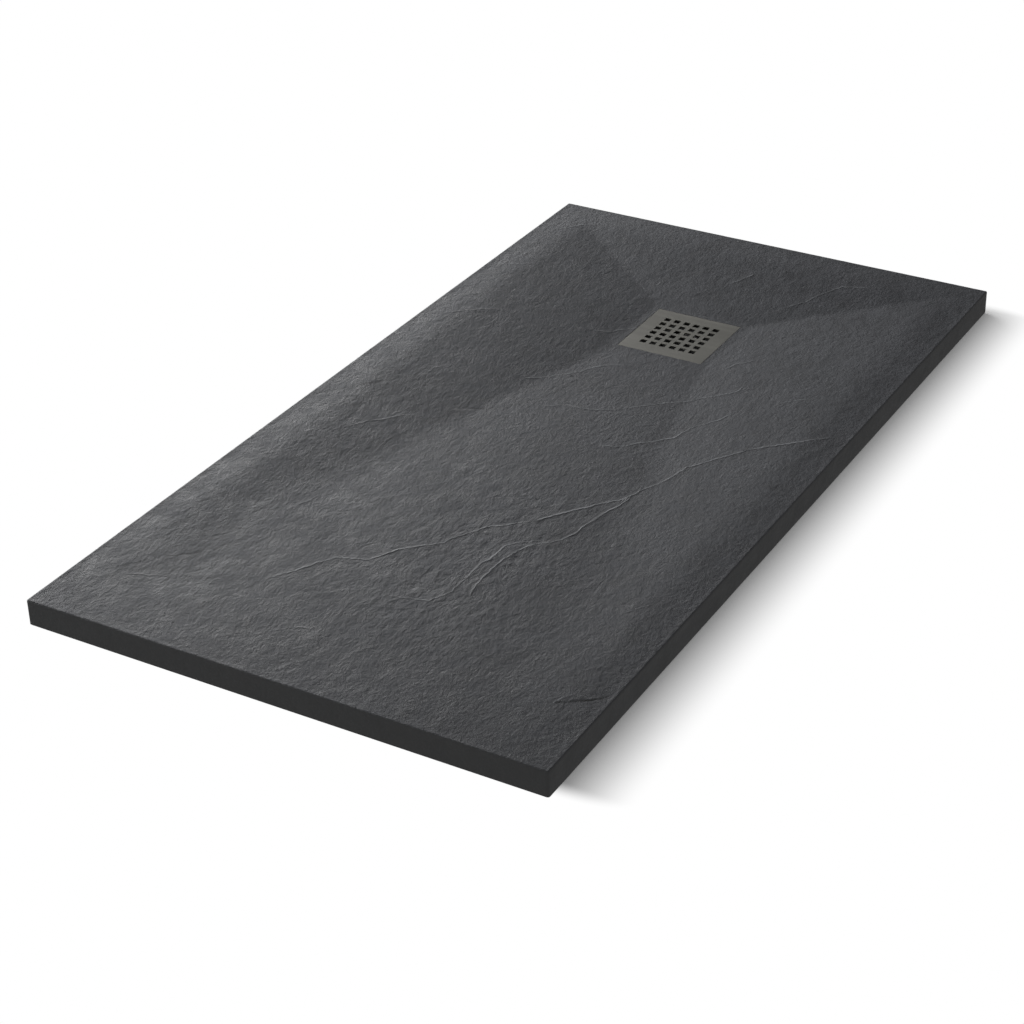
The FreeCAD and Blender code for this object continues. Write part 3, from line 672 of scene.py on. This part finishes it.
def moulded_material(name, colour, roughness=0.45, speckle=0.12, grain_scale=900.0, depth=0.04):
    """Moulded plastic, rubber or resin with a fine skin, depth in mm, and uneven tone."""
    n = Nodes(name)
    cloud = n.noise(n.place, scale=25.0)
    grain = n.noise(n.place, grain_scale, detail=2.0)
    dark = tuple(c * (1 - speckle) for c in colour)
    tone = n.mixed(n.spread(cloud, 0, 1), colour, dark)
    tone = n.mixed(n.spread(grain, 0, 0.5), tone, dark)
    rough = n.spread(cloud, roughness - 0.06, roughness + 0.08)
    normal = n.bump(grain, depth * MM, 0.6)
    return n.set(Base_Color=tone, Roughness=rough, Normal=normal, Specular_IOR_Level=0.3)


METAL_BUMP = 0.02 * MM


def metal_material(name, colour, roughness, stretch=(1, 30, 30)):
    """Metal with a fine grain that runs one way."""
    n = Nodes(name)
    lines = n.noise(n.stretched(scale=stretch), scale=60.0, detail=3.0)
    cloud = n.noise(n.place, scale=18.0)
    dark = tuple(c * 0.82 for c in colour)
    tone = n.mixed(n.spread(lines, 0, 1), colour, dark)
    rough = n.spread(cloud, roughness - 0.05, roughness + 0.07)
    normal = n.bump(lines, METAL_BUMP, 0.5)
    return n.set(Base_Color=tone, Roughness=rough, Normal=normal, Metallic=1.0)


def dress(node, material):
    """Gives every face of a CAD node one material."""
    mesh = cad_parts[node].data
    mesh.materials.clear()
    mesh.materials.append(material)


# ------------------------------------------------------------ dressing

skin = build_skin()
skin.data.materials.append(slate_material())
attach(skin, "tray")
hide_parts("tray_skin")

RUBBER_NODES = (
    "grate_pads",
    "flange_gasket",
    "body_gasket",
    "collar_seal",
    "tube_o_ring",
    "outlet_seal",
)
FINISHES = (
    (
        ("tray_core",),
        moulded_material("cast_resin", grey(0.075), 0.7, speckle=0.3, grain_scale=500.0, depth=0.12),
    ),
    # the grate's steel has a dark base colour: painted shade standing in for the dark surroundings it
    # reflects
    (("grate_plate",), metal_material("satin_steel_painted_dark", (0.18, 0.177, 0.161), 0.55)),
    (
        ("grate_studs", "flange_screws", "collar_screws"),
        metal_material("plain_steel", grey(0.55), 0.3, stretch=(20, 20, 1)),
    ),
    (
        RUBBER_NODES,
        moulded_material("rubber", grey(0.022), 0.7, speckle=0.2, grain_scale=1500.0, depth=0.03),
    ),
    (("waste_flange",), moulded_material("flange_plastic", grey(0.03), 0.85)),
    (("thread_inserts",), metal_material("brass", (0.75, 0.53, 0.24), 0.3)),
    (
        ("trap_collar", "trap_bowl", "outlet_stub"),
        moulded_material("trap_plastic", grey(0.66), 0.38),
    ),
    (("dip_tube", "seal_cup"), moulded_material("insert_plastic", grey(0.05), 0.8)),
    (("hair_strainer",), moulded_material("strainer_plastic", grey(0.03), 0.85)),
    (("outlet_washer",), moulded_material("washer_plastic", grey(0.7), 0.35)),
    (("outlet_nut",), moulded_material("nut_plastic", grey(0.6), 0.4)),
)
for nodes, material in FINISHES:
    for node in nodes:
        dress(node, material)

# ------------------------------------------------------------ floor, light and camera

FLOOR_REACH = 2.1
FLOOR_INSET = 12 * MM
FLOOR_Z = -0.2 * MM
FLOOR_COLOUR = (0.9, 0.9, 0.9, 1.0)
WHITE = (1.0, 1.0, 1.0, 1.0)
FLOOR_WHITE_AT = 0.10
# faint glow over the whole floor, painted light that lifts the shadow
FLOOR_GLOW = 0.09
# the outline that the shadow lies round: the tray's own, less a strip along the end and the side
# where the glow paints the shadow out. Beyond it the floor fades to a white glow, painted light, at
# these rates
SHADE_STRIP = (0.04, 0.10)
SHADE_MIDDLE = (SHADE_STRIP[0] / 2, -SHADE_STRIP[1] / 2, 0.0)
SHADE_HALF = (HALF_LENGTH - SHADE_STRIP[0] / 2, HALF_WIDTH - SHADE_STRIP[1] / 2, 1.0)
SHADE_RATE = (3.0, 1.0, 1.0)
DOME_RADIUS = 30.0
LIGHT_AIM = Vector((0.0, 0.0, 0.0))
KEY_PLACE = Vector((0.62, 2.3, 0.495))
KEY_SIZE = (3.7, 0.69)
KEY_WATTS = 188.0
TOP_PLACE = Vector((-0.2, 0.3, 2.6))
TOP_SIZE = (2.4, 2.0)
TOP_WATTS = 9.0
SKY_LOW = 0.38
SKY_HIGH = 0.20

CAMERA_PLACE = Vector((-2.7011, -1.5227, 1.7433))
CAMERA_AIM = Vector((-0.0550, -0.0344, 0.02))
CAMERA_ROLL = math.radians(-0.717)
CAMERA_LENS = 82.73
CAMERA_SENSOR = 36.0
CAMERA_SHIFT = (-0.05, -0.05)


def add_floor():
    """Pale floor that fades to a plain white glow, painted light, away from the tray's shaded side."""
    # the floor is open under the tray, where the trap hangs in its pocket
    corners = ((-1, -1), (1, -1), (1, 1), (-1, 1))
    inner_x, inner_y = HALF_LENGTH - FLOOR_INSET, HALF_WIDTH - FLOOR_INSET
    spots = [(i * inner_x, j * inner_y, FLOOR_Z) for i, j in corners]
    spots += [(i * FLOOR_REACH, j * FLOOR_REACH, FLOOR_Z) for i, j in corners]
    quads = [(k, k + 4, (k + 1) % 4 + 4, (k + 1) % 4) for k in range(4)]
    mesh = bpy.data.meshes.new("floor")
    mesh.from_pydata(spots, [], quads)
    floor = bpy.data.objects.new("floor", mesh)
    bpy.context.scene.collection.objects.link(floor)
    n = Nodes("floor")
    # distance beyond the shaded outline, counted faster towards the tray's ends
    beyond = n.vector("SUBTRACT", n.place, SHADE_MIDDLE)
    beyond = n.vector("ABSOLUTE", beyond)
    beyond = n.vector("SUBTRACT", beyond, SHADE_HALF)
    beyond = n.vector("MAXIMUM", beyond, (0, 0, 0))
    beyond = n.vector("MULTIPLY", beyond, SHADE_RATE)
    fade = n.add("ShaderNodeMapRange", interpolation_type="SMOOTHSTEP")
    n.link(n.vector("LENGTH", beyond), fade.inputs["Value"])
    fade.inputs["From Max"].default_value = FLOOR_WHITE_AT
    white = n.add("ShaderNodeEmission")
    n.set(Base_Color=FLOOR_COLOUR, Roughness=0.8, Emission_Color=WHITE)
    n.set(Emission_Strength=FLOOR_GLOW, Specular_IOR_Level=0.0)
    mix = n.add("ShaderNodeMixShader")
    n.link(fade.outputs["Result"], mix.inputs["Fac"])
    n.link(n.shader.outputs["BSDF"], mix.inputs[1])
    n.link(white.outputs["Emission"], mix.inputs[2])
    n.link(mix.outputs[0], n.tree.nodes["Material Output"].inputs["Surface"])
    floor.data.materials.append(n.material)
    floor.visible_diffuse = False
    floor.visible_glossy = False


def add_backdrop():
    """White dome that only the camera sees, so that it casts no light."""
    bpy.ops.mesh.primitive_uv_sphere_add(segments=48, ring_count=24, radius=DOME_RADIUS)
    dome = bpy.context.object
    dome.name = "backdrop"
    n = Nodes("backdrop")
    white = n.add("ShaderNodeEmission")
    n.link(white.outputs["Emission"], n.tree.nodes["Material Output"].inputs["Surface"])
    dome.data.materials.append(n.material)
    for ray in ("diffuse", "glossy", "transmission", "volume_scatter", "shadow"):
        setattr(dome, f"visible_{ray}", False)


def add_softbox(name, place, size, watts):
    """Rectangular light that points at the tray's middle."""
    light = bpy.data.lights.new(name, "AREA")
    light.shape = "RECTANGLE"
    light.size, light.size_y = size
    light.energy = watts
    box = bpy.data.objects.new(name, light)
    box.location = place
    box.rotation_euler = (LIGHT_AIM - place).to_track_quat("-Z", "Y").to_euler()
    bpy.context.scene.collection.objects.link(box)


def add_sky():
    """Ambient light, brighter at the horizon than overhead."""
    world = bpy.data.worlds.new("studio")
    world.use_nodes = True
    nodes, links = world.node_tree.nodes, world.node_tree.links
    place = nodes.new("ShaderNodeTexCoord")
    split = nodes.new("ShaderNodeSeparateXYZ")
    links.new(place.outputs["Generated"], split.inputs[0])
    height = nodes.new("ShaderNodeMapRange")
    links.new(split.outputs["Z"], height.inputs["Value"])
    height.inputs["To Min"].default_value = SKY_LOW
    height.inputs["To Max"].default_value = SKY_HIGH
    links.new(height.outputs["Result"], nodes["Background"].inputs["Strength"])
    nodes["Background"].inputs["Color"].default_value = WHITE
    bpy.context.scene.world = world


def add_camera():
    """Camera at the photograph's viewing angle."""
    camera = bpy.data.objects.new("camera", bpy.data.cameras.new("camera"))
    camera.data.lens = CAMERA_LENS
    camera.data.sensor_width = CAMERA_SENSOR
    camera.data.shift_x, camera.data.shift_y = CAMERA_SHIFT
    turn = (CAMERA_AIM - CAMERA_PLACE).to_track_quat("-Z", "Y").to_matrix()
    turn = turn @ Matrix.Rotation(CAMERA_ROLL, 3, "Z")
    camera.matrix_world = Matrix.Translation(CAMERA_PLACE) @ turn.to_4x4()
    bpy.context.scene.collection.objects.link(camera)
    bpy.context.scene.camera = camera


add_floor()
add_backdrop()
add_sky()
add_softbox("key", KEY_PLACE, KEY_SIZE, KEY_WATTS)
add_softbox("overhead", TOP_PLACE, TOP_SIZE, TOP_WATTS)
add_camera()
bpy.context.scene.view_settings.view_transform = "Standard"
